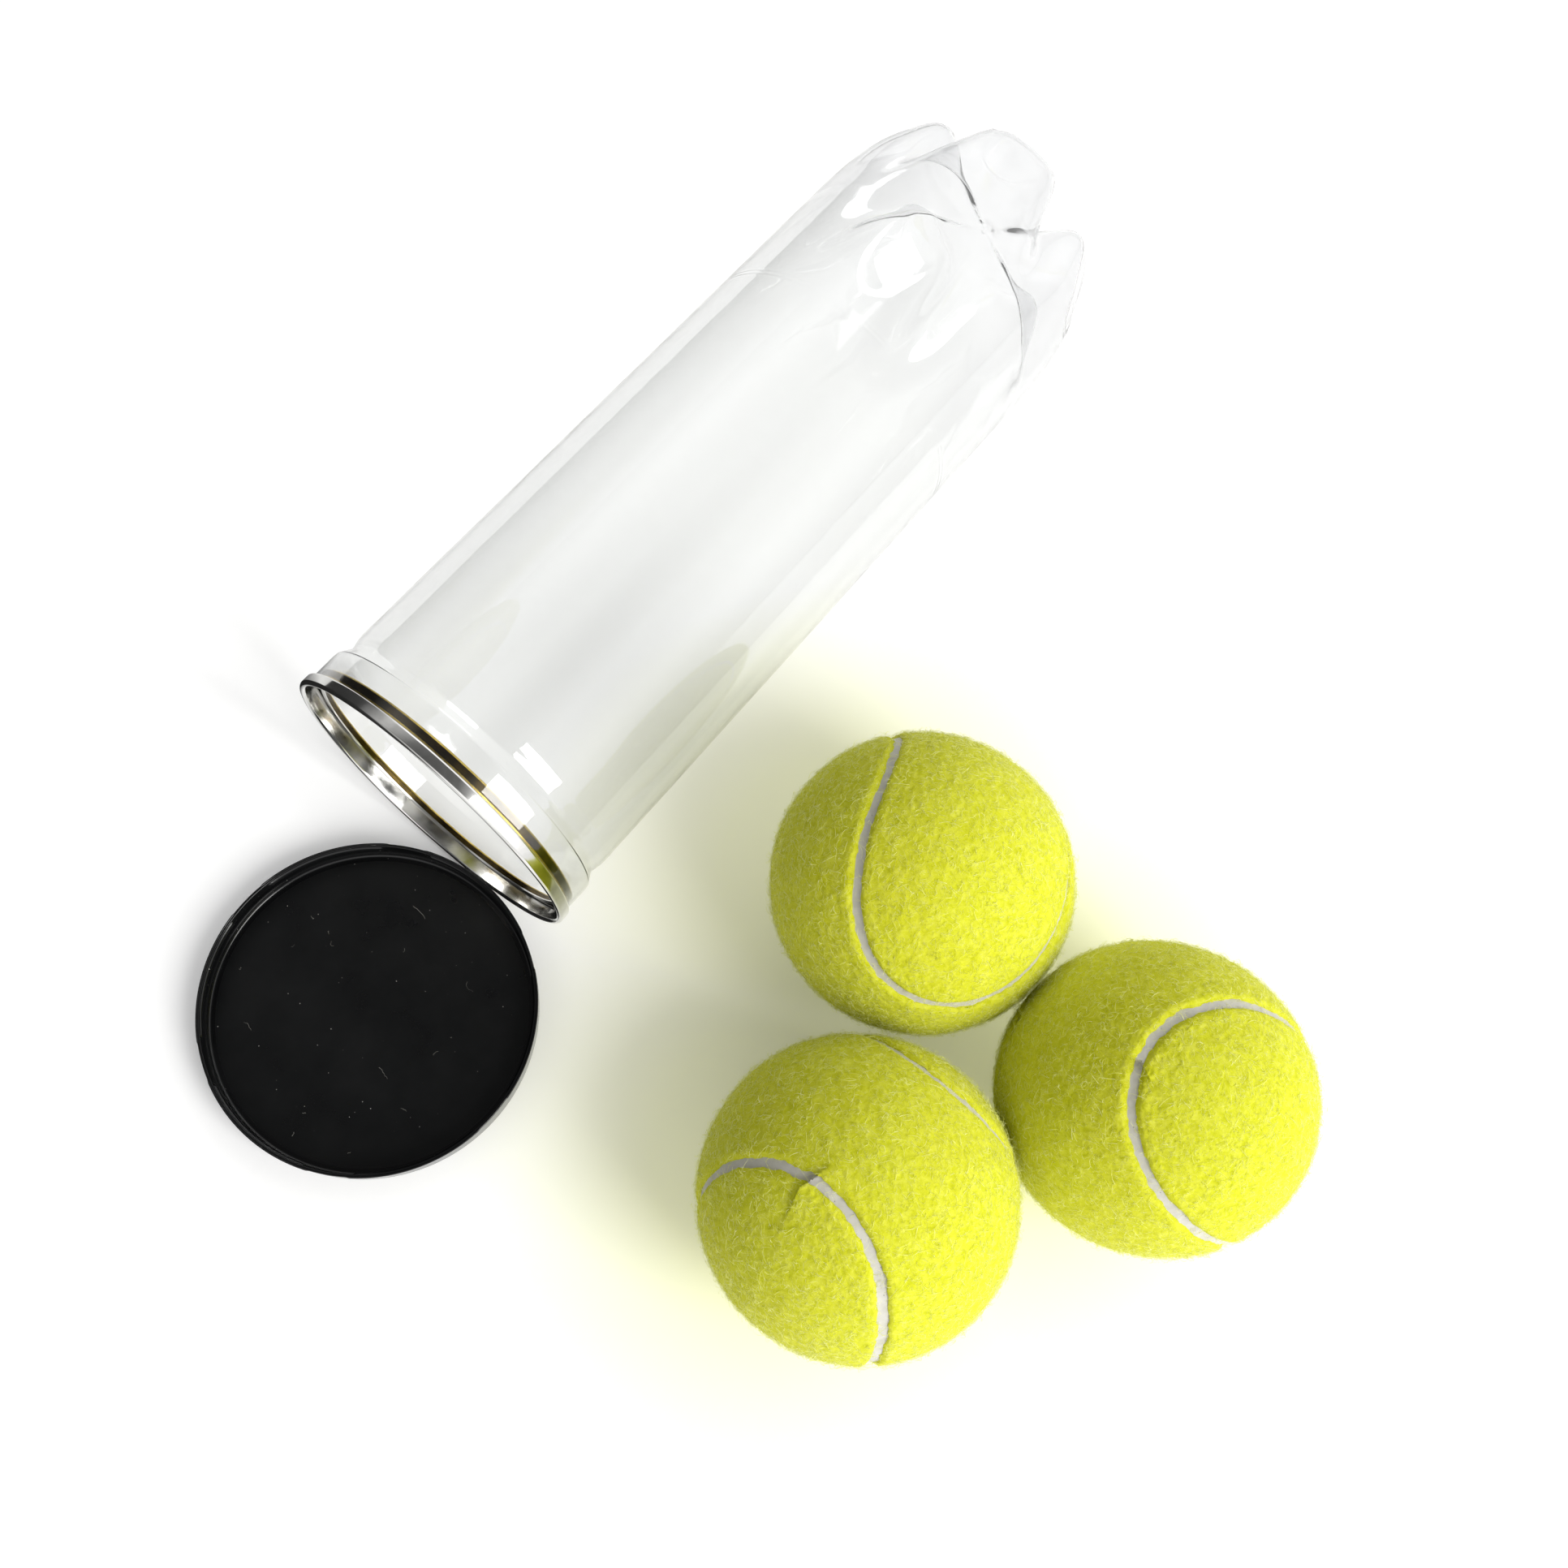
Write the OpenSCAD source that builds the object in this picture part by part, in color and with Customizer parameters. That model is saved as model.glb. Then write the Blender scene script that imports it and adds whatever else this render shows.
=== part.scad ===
// A clear tennis ball can lying on its side, its lid lying open side up by the
// mouth, and the three balls that it holds standing loose beside it.
// Millimetres, +Z up, the resting surface at z = 0, the can's mouth towards -X.

/* [Can] */
// Overall length of the can, from the feet of its base to the mouth
can_len = 214; // [200:1:225]
// Outer radius of the straight part of the body
body_r = 36.2; // [35.8:0.1:36.4]
// Thickness of the blown plastic wall
wall = 0.5; // [0.45:0.01:0.55]
// Outer radius of the neck under the metal seam
neck_r = 37.2; // [37.2:0.01:37.25]
// Outer radius at the bottom of the groove behind the neck
groove_r = 35.6; // [35.2:0.1:35.8]

/* [Base] */
// Number of feet round the base
feet = 5; // [5:1:6]
// Radius of the circle that the feet stand on
foot_r = 24.5; // [23:0.5:25.5]
// Height of the middle of the base above the feet
base_rise = 5.6; // [4:0.1:8]
// How narrow the valleys between the feet are
valley_sharpness = 4; // [1.5:0.1:5]
// Angle of the first valley round the can, from straight up
valley_angle = 31; // [0:1:71]

/* [Metal end ring] */
// Outer radius of the rolled seam
seam_r = 38.1; // [38.1:0.01:38.15]
// Height of the rolled seam along the can
seam_h = 3; // [2.9:0.1:3.2]
// Thickness of the metal sheet
sheet_t = 0.3; // [0.25:0.01:0.3]
// Depth of the countersink below the mouth
sink_depth = 5.55; // [5.3:0.05:6.5]
// Radius of the opening that the balls pass through
mouth_r = 34.1; // [34:0.1:34.4]

/* [Lid] */
// Outer radius of the lid at its rim
lid_r = 39.1; // [39:0.05:39.4]
// Height of the lid
lid_h = 8.5; // [7.5:0.1:10]
// Thickness of the lid's flat top
lid_top_t = 1.1; // [0.9:0.1:1.4]
// Inner radius of the lid's skirt
lid_bore_r = 38.2; // [38.15:0.05:38.25]
// How far the snap beads stand in from the skirt
snap_in = 0.5; // [0.3:0.05:0.6]
// Number of snap beads
snaps = 6; // [3:1:8]

/* [Balls] */
// Radius of a ball over its felt
ball_r = 33.5; // [32.7:0.1:33.6]
// Thickness of the felt
felt_t = 2.6; // [2.2:0.1:3]
// Thickness of the rubber core's wall
core_wall = 3.4; // [3:0.1:3.8]
// Width of the seam between the felt panels
seam_w = 2.5; // [2:0.1:3]
// How far the seam lies below the felt
seam_recess = 0.5; // [0.2:0.1:0.8]
// Share of the seam's third harmonic: how far the panels are waisted
seam_waist = 0.24; // [0.2:0.01:0.28]

/* [Layout on the surface] */
// Sideways place of the lid's centre from the can's axis
lid_y = -12.5; // [-16:0.5:-8]
// Gap between the lid's rim and the metal ring
lid_gap = 0.4; // [0.3:0.1:5]
// Places of the balls, along the can from its mouth and sideways from its axis
ball_spots = [[59, -93], [-4, -124], [54, -161]];
// How each ball is turned, as rotations about X, Y and Z
ball_turns = [[-94, 31, 110], [-24, 2, -49], [-132, -31, -140]];

/* [Hidden] */
$fn = 96;

clear_pet = [0.86, 0.89, 0.92, 0.35];
tinplate = [0.75, 0.74, 0.7];
compound_grey = [0.55, 0.55, 0.5];
lid_black = [0.05, 0.05, 0.055];
felt_yellow = [0.86, 0.93, 0.15];
seam_white = [0.88, 0.88, 0.85];
rubber_grey = [0.35, 0.33, 0.3];
cement_tan = [0.7, 0.62, 0.45];

// ---- The can's own frame: feet at z = 0, mouth at z = can_len, axis on Z ----
// The base's curved zone ends where its valleys' sphere meets the wall
base_top = base_rise + body_r;
neck_len = 10;
groove_depth = 13.5;
shoulder_depth = 17;
// Radius that the metal is rolled to at the top of the seam
fold = 0.65;

// The can lies on its seam and on the end of its straight wall, so it tips a little
tip = atan((seam_r - body_r) / (can_len - seam_h / 2 - base_top));
lie_height = body_r * cos(tip) - base_top * sin(tip);

// ---- The layout's bounding box, so that the origin is at its bottom centre ----
mouth_low_x = -seam_r * sin(tip);
lid_x = mouth_low_x - lid_gap - lid_r;
x_min = lid_x - lid_r;
x_max = can_len * cos(tip) + foot_r * sin(tip);
y_min = min([for (spot = ball_spots) spot[1]]) - ball_r;
y_max = seam_r;
centre = [(x_min + x_max) / 2, (y_min + y_max) / 2, 0];

module lay_can() {
    translate(-centre)
        translate([can_len * cos(tip), 0, lie_height])
            rotate([0, tip - 90, 0])
                children();
}

module place_lid() {
    translate([lid_x, lid_y, 0] - centre)
        children();
}

module place_ball(number) {
    spot = ball_spots[number - 1];
    translate([spot[0], spot[1], ball_r] - centre)
        rotate(ball_turns[number - 1])
            children();
}

// ---- Curves ----
// A Catmull-Rom curve through the points, at u from 0 to 1
function curve(points, u) =
    let (spans = len(points) - 1)
    let (i = min(floor(u * spans), spans - 1))
    let (f = u * spans - i)
    let (a = points[max(i - 1, 0)])
    let (b = points[i])
    let (c = points[i + 1])
    let (d = points[min(i + 2, spans)])
    0.5 * (2 * b + (c - a) * f
        + (2 * a - 5 * b + 4 * c - d) * f * f
        + (3 * b - a - 3 * c + d) * f * f * f);

function unit(v) = v / norm(v);

// The outline of a thin sheet bent along a line of [radius, height] points
function side(path, i, shift) =
    let (before = path[max(i - 1, 0)])
    let (after = path[min(i + 1, len(path) - 1)])
    let (along = unit(after - before))
    path[i] + shift * [along[1], -along[0]];

function sheet_outline(path, thickness) = concat(
    [for (i = [0:len(path) - 1]) side(path, i, thickness / 2)],
    [for (i = [len(path) - 1:-1:0]) side(path, i, -thickness / 2)]
);

function arc(middle, radius, from, to, steps) = [
    for (i = [0:steps])
        let (a = from + (to - from) * i / steps)
        middle + radius * [cos(a), sin(a)]
];

// ---- Base of the can: feet between valleys ----
ring_steps = 16 * feet;
rib_steps = 22;
base_out = body_r - 0.03;
base_wall = wall - 0.07;

foot_line = [
    [base_out, base_top], [base_out, 34], [base_out - 0.35, 26.5],
    [base_out - 1.5, 18.5], [base_out - 3.8, 11], [foot_r + 5.4, 4.6],
    [foot_r + 2.8, 1.1], [foot_r, 0], [foot_r - 2.8, 1.1],
    [foot_r - 7.5, 3.6], [foot_r - 14, base_rise - 0.4], [5, base_rise],
    [0, base_rise]
];

function valley_point(u) = [base_out * cos(90 * u), base_top - base_out * sin(90 * u)];

function foot_share(angle) =
    1 - pow(0.5 + 0.5 * cos(feet * (angle - valley_angle)), valley_sharpness);

function base_point(u, angle) =
    let (share = foot_share(angle))
    let (p = share * curve(foot_line, u) + (1 - share) * valley_point(u))
    [p[0] * cos(angle), p[0] * sin(angle), p[1]];

// The way into the wall from a point of the base
function base_inward(u, angle) =
    u == 0 ? [-cos(angle), -sin(angle), 0] :
    u == 1 ? [0, 0, 1] :
    let (step = 0.004)
    let (down = base_point(min(u + step, 1), angle) - base_point(u - step, angle))
    let (round = base_point(u, angle + 1) - base_point(u, angle - 1))
    unit(cross(round, down));

function base_ring(i, depth) = [
    for (j = [0:ring_steps - 1])
        let (u = i / rib_steps)
        let (angle = 360 * j / ring_steps)
        base_point(u, angle) + depth * base_inward(u, angle)
];

// Quads between two rings of points, wound outwards or inwards
function band(first, second, flip) = [
    for (j = [0:ring_steps - 1])
        let (k = (j + 1) % ring_steps)
        flip ? [first + j, second + j, second + k, first + k]
            : [first + j, first + k, second + k, second + j]
];

function fan(first, point, flip) = [
    for (j = [0:ring_steps - 1])
        let (k = (j + 1) % ring_steps)
        flip ? [first + j, point, first + k] : [first + j, first + k, point]
];

module base_shell() {
    outer = [for (i = [0:rib_steps - 1]) each base_ring(i, 0)];
    inner = [for (i = [0:rib_steps - 1]) each base_ring(i, base_wall)];
    poles = [[0, 0, base_rise], [0, 0, base_rise + base_wall]];
    start = len(outer);
    tips = 2 * start;
    last = (rib_steps - 1) * ring_steps;
    faces = concat(
        [for (i = [0:rib_steps - 2])
            each band(i * ring_steps, (i + 1) * ring_steps, false)],
        [for (i = [0:rib_steps - 2])
            each band(start + i * ring_steps, start + (i + 1) * ring_steps, true)],
        fan(last, tips, false),
        fan(start + last, tips + 1, true),
        band(0, start, true)
    );
    polyhedron(concat(outer, inner, poles), faces, convexity = 8);
}

// ---- Straight wall, groove, neck and the flange held in the seam ----
module body_wall() {
    wall_mid_r = body_r - wall / 2;
    groove_mid_r = groove_r - wall / 2;
    neck_mid_r = neck_r - wall / 2;
    groove_z = can_len - groove_depth;
    neck_z = can_len - neck_len;
    bend = 1;
    flange_out = 0.35;
    flange_start = can_len - 3.2;
    flange_bend = can_len - 2.4;
    flange_end = can_len - 1.15;
    line = [
        [wall_mid_r, base_top],
        [wall_mid_r, can_len - shoulder_depth],
        [groove_mid_r + 0.15, groove_z - bend],
        [groove_mid_r, groove_z],
        [groove_mid_r + 0.25, groove_z + bend],
        [neck_mid_r - 0.3, neck_z - 0.6],
        [neck_mid_r, neck_z + 0.4],
        [neck_mid_r, flange_start],
        [neck_mid_r + flange_out - 0.02, flange_bend],
        [neck_mid_r + flange_out, flange_end]
    ];
    rotate_extrude()
        polygon(sheet_outline(line, wall));
}

module can_body() {
    color(clear_pet)
        lay_can()
            union() {
                base_shell();
                body_wall();
            }
}

// ---- Metal ring left by the pull-off end: hook, seam, chuck wall, countersink ----
module end_ring() {
    hem = 0.4;
    sink = 0.55;
    lip = 0.35;
    lip_rise = 0.9;
    chuck_slope = 0.3;
    skirt_r = seam_r - sheet_t / 2;
    top_mid = [skirt_r - fold, can_len - fold - sheet_t / 2];
    chuck_r = skirt_r - 2 * fold - chuck_slope;
    sink_mid = [chuck_r - sink, can_len - sink_depth + sink];
    hem_mid = [skirt_r - hem, can_len - seam_h + hem + sheet_t / 2];
    lip_mid = sink_mid + [-sink - lip, lip_rise];
    line = concat(
        arc(hem_mid, hem, -80, 0, 5),
        arc(top_mid, fold, 0, 180, 12),
        arc(sink_mid, sink, 0, -180, 10),
        arc(lip_mid, lip, 0, 90, 4),
        [[mouth_r, lip_mid[1] + lip]]
    );
    color(tinplate)
        lay_can()
            rotate_extrude()
                polygon(sheet_outline(line, sheet_t));
}

// ---- Rubbery compound that fills the top of the seam over the flange ----
module sealing_compound() {
    middle = seam_r - sheet_t / 2 - fold;
    top = can_len - fold - sheet_t / 2;
    round_r = 0.42;
    low = can_len - 1.08;
    color(compound_grey)
        lay_can()
            rotate_extrude()
                polygon(concat(
                    arc([middle, top], round_r, 0, 180, 8),
                    [[middle - round_r, low], [middle + round_r, low]]
                ));
}

// ---- Lid ----
module snap_bead(angle) {
    span = 44;
    bead_r = 0.8;
    bead_drop = 1.5;
    rotate([0, 0, angle - span / 2])
        rotate_extrude(angle = span)
            translate([lid_bore_r + bead_r - snap_in, lid_h - bead_drop])
                intersection() {
                    circle(r = bead_r, $fn = 32);
                    translate([-bead_r, -bead_r])
                        square([bead_r, 2 * bead_r]);
                }
}

module lid() {
    edge = 0.8;
    lip = 0.15;
    color(lid_black)
        place_lid()
            union() {
                rotate_extrude()
                    polygon(concat(
                        [[0, 0]],
                        arc([lid_r - lip - edge, edge], edge, -90, 0, 6),
                        [[lid_r - lip, lid_h - 1.2], [lid_r, lid_h - 1]],
                        [[lid_r, lid_h - 0.2], [lid_r - 0.2, lid_h]],
                        [[lid_bore_r + 0.2, lid_h], [lid_bore_r, lid_h - 0.2]],
                        arc([lid_bore_r - edge, lid_top_t + edge], edge, 0, -90, 6),
                        [[0, lid_top_t]]
                    ));
                for (i = [0:snaps - 1])
                    snap_bead(i * 360 / snaps);
            }
}

// ---- Balls: hollow rubber core in two halves, two felt panels, seam ----
cement_t = 0.3;
glue_gap = 0.3;
core_out = ball_r - felt_t - glue_gap;
core_in = core_out - core_wall;
felt_in = ball_r - felt_t;

module core_half(number, up) {
    color(rubber_grey)
        place_ball(number)
            rotate([up ? 0 : 180, 0, 0])
                difference() {
                    sphere(r = core_out);
                    sphere(r = core_in);
                    translate([-ball_r, -ball_r, cement_t / 2 - 2 * ball_r])
                        cube(2 * ball_r);
                }
}

module core_cement(number) {
    color(cement_tan)
        place_ball(number)
            difference() {
                cylinder(r = core_out - 0.05, h = cement_t, center = true);
                cylinder(r = core_in + 0.05, h = 2 * cement_t, center = true);
            }
}

// The seam is one closed line on the sphere, and t runs once round it
function seam_dir(t) = [
    (1 - seam_waist) * cos(t) + seam_waist * cos(3 * t),
    (1 - seam_waist) * sin(t) - seam_waist * sin(3 * t),
    2 * sqrt(seam_waist * (1 - seam_waist)) * sin(2 * t)
];

function seam_side(t) =
    unit(cross(seam_dir(t), seam_dir(t + 1) - seam_dir(t - 1)));

// A direction that lies a given way across the seam, in millimetres on the felt
function beside_seam(t, across) =
    unit(seam_dir(t) + across / ball_r * seam_side(t));

function slerp(a, b, f) =
    let (angle = acos(min(1, a * b)))
    angle < 0.01 ? a : (a * sin((1 - f) * angle) + b * sin(f * angle)) / sin(angle);

seam_steps = 64;
felt_ribs = seam_steps / 2;
felt_rows = 10;
seam_gap = 0.1;

// Panel a lies on one side of the seam, and panel b is the same turned over
function felt_rib(i) =
    let (t = -45 + 180 * i / felt_ribs)
    let (across = seam_w / 2 + seam_gap)
    let (a = beside_seam(t, across))
    let (b = beside_seam(-90 - t, across))
    [for (j = [0:felt_rows]) slerp(a, b, j / felt_rows)];

module felt_panel() {
    ribs = [for (i = [1:felt_ribs - 1]) each felt_rib(i)];
    ends = [felt_rib(0)[0], felt_rib(felt_ribs)[0]];
    dirs = concat(ribs, ends);
    count = len(dirs);
    row = felt_rows + 1;
    last = (felt_ribs - 2) * row;
    skin = concat(
        [for (i = [0:felt_ribs - 3], j = [0:felt_rows - 1])
            [i * row + j, i * row + j + 1, (i + 1) * row + j + 1, (i + 1) * row + j]],
        [for (j = [0:felt_rows - 1]) [count - 2, j + 1, j]],
        [for (j = [0:felt_rows - 1]) [count - 1, last + j, last + j + 1]]
    );
    rim = concat(
        [count - 2],
        [for (i = [0:felt_ribs - 2]) i * row],
        [count - 1],
        [for (i = [felt_ribs - 2:-1:0]) i * row + felt_rows]
    );
    faces = concat(
        skin,
        [for (face = skin) [for (i = [len(face) - 1:-1:0]) face[i] + count]],
        [for (i = [0:len(rim) - 1])
            let (k = (i + 1) % len(rim))
            [rim[i], rim[k], rim[k] + count, rim[i] + count]]
    );
    points = concat(
        [for (d = dirs) ball_r * d],
        [for (d = dirs) felt_in * d]
    );
    polyhedron(points, faces, convexity = 6);
}

module felt(number, first) {
    color(felt_yellow)
        place_ball(number)
            rotate([first ? 0 : 180, 0, 0])
                felt_panel();
}

module ball_seam(number) {
    half = seam_w / 2;
    corners = [
        [half, ball_r - seam_recess], [-half, ball_r - seam_recess],
        [-half, felt_in], [half, felt_in]
    ];
    points = [
        for (i = [0:seam_steps - 1], corner = corners)
            corner[1] * beside_seam(360 * i / seam_steps, corner[0])
    ];
    faces = [
        for (i = [0:seam_steps - 1], j = [0:3])
            let (next = (i + 1) % seam_steps)
            let (k = (j + 1) % 4)
            [4 * i + j, 4 * next + j, 4 * next + k, 4 * i + k]
    ];
    color(seam_white)
        place_ball(number)
            polyhedron(points, faces, convexity = 6);
}

can_body();
end_ring();
sealing_compound();
lid();
core_half(1, true);  // ball_1_core_a
core_half(1, false);  // ball_1_core_b
core_cement(1);  // ball_1_core_cement
felt(1, true);  // ball_1_felt_a
felt(1, false);  // ball_1_felt_b
ball_seam(1);  // ball_1_seam
core_half(2, true);  // ball_2_core_a
core_half(2, false);  // ball_2_core_b
core_cement(2);  // ball_2_core_cement
felt(2, true);  // ball_2_felt_a
felt(2, false);  // ball_2_felt_b
ball_seam(2);  // ball_2_seam
core_half(3, true);  // ball_3_core_a
core_half(3, false);  // ball_3_core_b
core_cement(3);  // ball_3_core_cement
felt(3, true);  // ball_3_felt_a
felt(3, false);  // ball_3_felt_b
ball_seam(3);  // ball_3_seam
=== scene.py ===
import math

import bpy
import numpy as np
from mathutils import Matrix, Vector


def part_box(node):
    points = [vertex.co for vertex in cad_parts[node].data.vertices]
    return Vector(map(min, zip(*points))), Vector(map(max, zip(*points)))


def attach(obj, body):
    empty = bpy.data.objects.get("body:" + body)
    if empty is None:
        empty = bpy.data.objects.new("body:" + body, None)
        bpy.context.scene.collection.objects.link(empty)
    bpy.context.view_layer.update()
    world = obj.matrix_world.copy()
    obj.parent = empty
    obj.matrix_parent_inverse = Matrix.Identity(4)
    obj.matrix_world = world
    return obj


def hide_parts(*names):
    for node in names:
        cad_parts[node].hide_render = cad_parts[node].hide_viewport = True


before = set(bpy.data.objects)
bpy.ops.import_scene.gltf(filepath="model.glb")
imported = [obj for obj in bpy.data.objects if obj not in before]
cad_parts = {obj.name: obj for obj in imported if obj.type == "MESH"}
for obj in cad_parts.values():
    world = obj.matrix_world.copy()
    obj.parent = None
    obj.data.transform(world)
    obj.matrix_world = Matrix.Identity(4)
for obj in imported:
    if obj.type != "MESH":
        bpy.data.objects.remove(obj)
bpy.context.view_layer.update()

MM = 0.001

# ---- Sizes that part.scad also has, in millimetres and degrees ----
CAN_LEN, BODY_R, WALL = 214.0, 36.2, 0.5
NECK_R, GROOVE_R = 37.2, 35.6
NECK_LEN, GROOVE_DEPTH, SHOULDER_DEPTH = 10.0, 13.5, 17.0
FEET, FOOT_R, BASE_RISE = 5, 24.5, 5.6
VALLEY_SHARPNESS, VALLEY_ANGLE = 4.0, 31.0
SEAM_R, SEAM_H, SHEET_T, FOLD = 38.1, 3.0, 0.3, 0.65
SINK_DEPTH, MOUTH_R = 5.55, 34.1
LID_R, LID_H, LID_TOP_T, LID_BORE_R, SNAP_IN, SNAPS = 39.1, 8.5, 1.1, 38.2, 0.5, 6
BALL_R, FELT_T, SEAM_W, SEAM_RECESS, SEAM_WAIST = 33.5, 2.6, 2.5, 0.5, 0.24
BALL_TURNS = {1: (-94, 31, 110), 2: (-24, 2, -49), 3: (-132, -31, -140)}
BASE_TOP = BASE_RISE + BODY_R
FELT_IN = BALL_R - FELT_T

BODIES = {"can": "can", "lid": "lid", 1: "ball_1", 2: "ball_2", 3: "ball_3"}


# ---- Places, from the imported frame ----
def turned(*turns):
    """Rotations such as ("Z", 90), each about an axis that the one before it has turned."""
    matrix = Matrix()
    for axis, degrees in turns:
        matrix = matrix @ Matrix.Rotation(math.radians(degrees), 4, axis)
    return matrix


def node_box(*names):
    """Lowest and highest corners of some nodes together, in millimetres."""
    boxes = [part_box(name) for name in names]
    low = np.min([np.array(b[0]) for b in boxes], axis=0) / MM
    high = np.max([np.array(b[1]) for b in boxes], axis=0) / MM
    return low, high


def can_matrix():
    """From the can's own frame, feet at z = 0 and mouth at z = CAN_LEN, to where it lies."""
    tip = math.atan((SEAM_R - BODY_R) / (CAN_LEN - SEAM_H / 2 - BASE_TOP))
    low, high = node_box("end_ring")
    mouth_x = low[0] + SEAM_R * math.sin(tip)
    lie_height = BODY_R * math.cos(tip) - BASE_TOP * math.sin(tip)
    spot = Vector((mouth_x + CAN_LEN * math.cos(tip), (low[1] + high[1]) / 2, lie_height))
    return Matrix.Translation(spot) @ Matrix.Rotation(tip - math.pi / 2, 4, "Y")


def ball_matrix(number):
    """From a ball's own frame, with its seam round the origin, to where it stands."""
    low, high = node_box(f"ball_{number}_felt_a", f"ball_{number}_felt_b")
    middle = (low + high) / 2
    x, y, z = BALL_TURNS[number]
    return Matrix.Translation((middle[0], middle[1], BALL_R)) @ turned(
        ("Z", z), ("Y", y), ("X", x))


def lid_matrix():
    """From the lid's own frame, top plate down on z = 0, to where it lies."""
    low, high = node_box("lid")
    return Matrix.Translation(((low[0] + high[0]) / 2, (low[1] + high[1]) / 2, 0))


# ---- Small numeric tools ----
def lattice_hash(ix, iy, iz, seed):
    """A repeatable value from -1 to 1 for each point of a whole-number lattice."""
    n = (ix * 374761393 + iy * 668265263 + iz * 1442695041 + seed * 974634777) & 0xFFFFFFFF
    n = ((n ^ (n >> 13)) * 1274126177) & 0xFFFFFFFF
    n = ((n ^ (n >> 15)) * 2246822519) & 0xFFFFFFFF
    return ((n ^ (n >> 16)) & 0xFFFFFF) / 0x7FFFFF - 1.0


def noise(points, size, seed):
    """Smooth noise from -1 to 1 at each point, with bumps about `size` across."""
    q = np.asarray(points, float) / size + 1000.0
    cell = np.floor(q).astype(np.int64)
    f = q - cell
    f = f * f * f * (f * (f * 6 - 15) + 10)
    total = np.zeros(q.shape[:-1])
    for dx in (0, 1):
        for dy in (0, 1):
            for dz in (0, 1):
                weight = (
                    (f[..., 0] if dx else 1 - f[..., 0])
                    * (f[..., 1] if dy else 1 - f[..., 1])
                    * (f[..., 2] if dz else 1 - f[..., 2])
                )
                total += weight * lattice_hash(
                    cell[..., 0] + dx, cell[..., 1] + dy, cell[..., 2] + dz, seed
                )
    return total


def smooth(x, low, high):
    """0 below low, 1 above high, and a smooth step between."""
    t = np.clip((np.asarray(x, float) - low) / (high - low), 0, 1)
    return t * t * (3 - 2 * t)


def unit(v):
    """Vectors scaled to length 1."""
    return v / np.linalg.norm(v, axis=-1, keepdims=True)


def curve(points, u):
    """A Catmull-Rom curve through the points, at u from 0 to 1."""
    p = np.array(points, float)
    spans = len(p) - 1
    i = np.minimum(np.floor(u * spans).astype(int), spans - 1)
    f = (u * spans - i)[:, None]
    a, b = p[np.maximum(i - 1, 0)], p[i]
    c, d = p[i + 1], p[np.minimum(i + 2, spans)]
    return 0.5 * (
        2 * b + (c - a) * f + (2 * a - 5 * b + 4 * c - d) * f**2
        + (3 * b - a - 3 * c + d) * f**3
    )


def arc(middle, radius, start, end, steps):
    """Points round a middle, from one angle to another in degrees."""
    a = np.radians(np.linspace(start, end, steps + 1))
    return np.stack([middle[0] + radius * np.cos(a), middle[1] + radius * np.sin(a)], axis=1)


# ---- Making pieces ----
def grid_faces(rows, columns, closed_columns=False, first=0):
    """Quads of a grid of points laid out row after row."""
    i = np.arange(rows - 1)[:, None]
    j = np.arange(columns if closed_columns else columns - 1)[None, :]
    k = (j + 1) % columns
    quad = np.stack([i * columns + j, i * columns + k, (i + 1) * columns + k,
                     (i + 1) * columns + j], axis=-1)
    return quad.reshape(-1, 4) + first


def tube_faces(rows, columns):
    """Quads of a grid whose rows are rings and whose last row joins its first."""
    j = np.arange(columns)
    k = (j + 1) % columns
    last = (rows - 1) * columns
    close = np.stack([last + j, last + k, k, j], axis=1)
    return np.concatenate([grid_faces(rows, columns, True), close])


def ribbon_faces(count, segments):
    """Quads of ribbons whose points come in pairs, one pair more than their segments."""
    base = np.arange(count)[:, None] * 2 * (segments + 1)
    s = np.arange(segments)[None, :] * 2
    return np.stack([base + s, base + s + 1, base + s + 3, base + s + 2], axis=-1).reshape(-1, 4)


def make_piece(name, points, faces, matrix, body, materials, replaces=(),
               face_material=None, sharp=None):
    """A mesh piece from points in millimetres in its own frame."""
    points = np.asarray(points, float)
    m = np.array(matrix)
    placed = (points @ m[:3, :3].T + m[:3, 3]) * MM
    faces = [np.asarray(f, int).reshape(-1, n) for f, n in faces]
    mesh = bpy.data.meshes.new(name)
    loops = np.concatenate([f.ravel() for f in faces])
    sizes = np.concatenate([np.full(len(f), f.shape[1]) for f in faces])
    starts = np.concatenate([[0], np.cumsum(sizes)[:-1]])
    mesh.vertices.add(len(placed))
    mesh.vertices.foreach_set("co", placed.astype(np.float32).ravel())
    mesh.loops.add(len(loops))
    mesh.loops.foreach_set("vertex_index", loops.astype(np.int32))
    mesh.polygons.add(len(sizes))
    mesh.polygons.foreach_set("loop_start", starts.astype(np.int32))
    mesh.polygons.foreach_set("loop_total", sizes.astype(np.int32))
    mesh.polygons.foreach_set("use_smooth", np.ones(len(sizes), bool))
    for material in materials:
        mesh.materials.append(material)
    if face_material is not None:
        mesh.polygons.foreach_set("material_index", np.asarray(face_material, np.int32))
    mesh.update(calc_edges=True)
    mesh.validate()
    if sharp is not None:
        mesh.set_sharp_from_angle(angle=math.radians(sharp))
    piece = bpy.data.objects.new(name, mesh)
    bpy.context.scene.collection.objects.link(piece)
    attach(piece, body)
    if replaces:
        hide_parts(*replaces)
    return piece


def lathe(outline, segments):
    """Points of an outline of (radius, height) turned round Z, one ring to a row."""
    a = np.radians(np.arange(segments) * 360 / segments)
    rows = np.array(outline, float)
    return np.stack([
        rows[:, :1] * np.cos(a), rows[:, :1] * np.sin(a), np.repeat(rows[:, 1:], segments, axis=1)
    ], axis=-1)


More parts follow.
